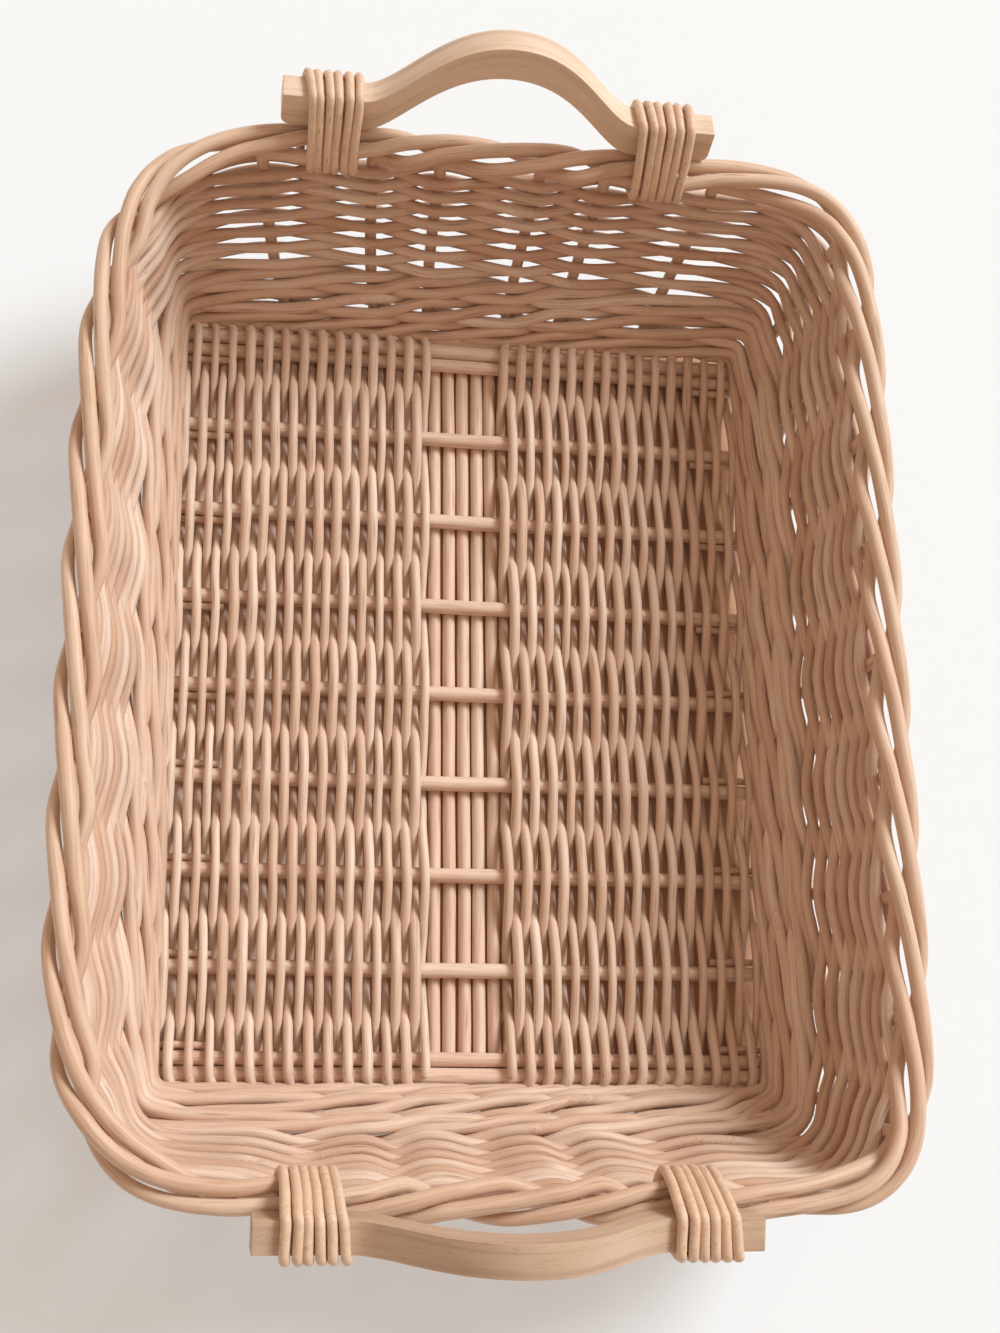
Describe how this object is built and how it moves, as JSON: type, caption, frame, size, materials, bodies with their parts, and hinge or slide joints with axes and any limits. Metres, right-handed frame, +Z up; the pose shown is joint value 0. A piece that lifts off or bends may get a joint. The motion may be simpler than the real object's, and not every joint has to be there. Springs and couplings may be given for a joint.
{
  "type": "shallow basket",
  "caption": "Shallow rectangular willow basket with a woven base, an openly woven flaring wall, a border of bent-over stakes and a bent wood handle lashed to each end.",
  "frame": {"origin": "centre of the basket's underside, on the plane it rests on", "axes": "+X across the basket to its right, +Y along it towards the back handle, +Z up"},
  "size_m": [0.3748, 0.532, 0.1613],
  "materials": {
    "willow": "peeled willow rod, lightly varnished",
    "willow_wale": "peeled willow rod, lightly varnished, a little darker",
    "bent_wood": "steam-bent wood, sanded smooth and varnished",
    "cane": "round cane, matte"
  },
  "bodies": {
    "root": {"cross_stick_1": "willow", "cross_stick_2": "willow", "cross_stick_3": "willow", "cross_stick_4": "willow", "cross_stick_5": "willow", "cross_stick_6": "willow", "cross_stick_7": "willow", "end_stick_front_inner": "willow", "end_stick_front_outer": "willow", "end_stick_back_inner": "willow", "end_stick_back_outer": "willow", "centre_rod_1": "willow", "centre_rod_2": "willow", "centre_rod_3": "willow", "centre_rod_4": "willow", "centre_rod_5": "willow", "base_mat_left": "willow", "base_mat_right": "willow", "stake_front_1": "willow", "stake_front_2": "willow", "stake_front_3": "willow", "stake_front_4": "willow", "stake_front_5": "willow", "stake_front_6": "willow", "stake_right_1": "willow", "stake_right_2": "willow", "stake_right_3": "willow", "stake_right_4": "willow", "stake_right_5": "willow", "stake_right_6": "willow", "stake_right_7": "willow", "stake_right_8": "willow", "stake_right_9": "willow", "stake_back_1": "willow", "stake_back_2": "willow", "stake_back_3": "willow", "stake_back_4": "willow", "stake_back_5": "willow", "stake_back_6": "willow", "stake_left_1": "willow", "stake_left_2": "willow", "stake_left_3": "willow", "stake_left_4": "willow", "stake_left_5": "willow", "stake_left_6": "willow", "stake_left_7": "willow", "stake_left_8": "willow", "stake_left_9": "willow", "wall_weaver_1": "willow", "wall_weaver_2": "willow", "foot_wale_rod_1": "willow_wale", "foot_wale_rod_2": "willow_wale", "foot_wale_rod_3": "willow_wale", "handle_back": "bent_wood", "handle_front": "bent_wood", "lashing_back_left": "cane", "lashing_back_right": "cane", "lashing_front_left": "cane", "lashing_front_right": "cane"}
  },
  "joints": []
}
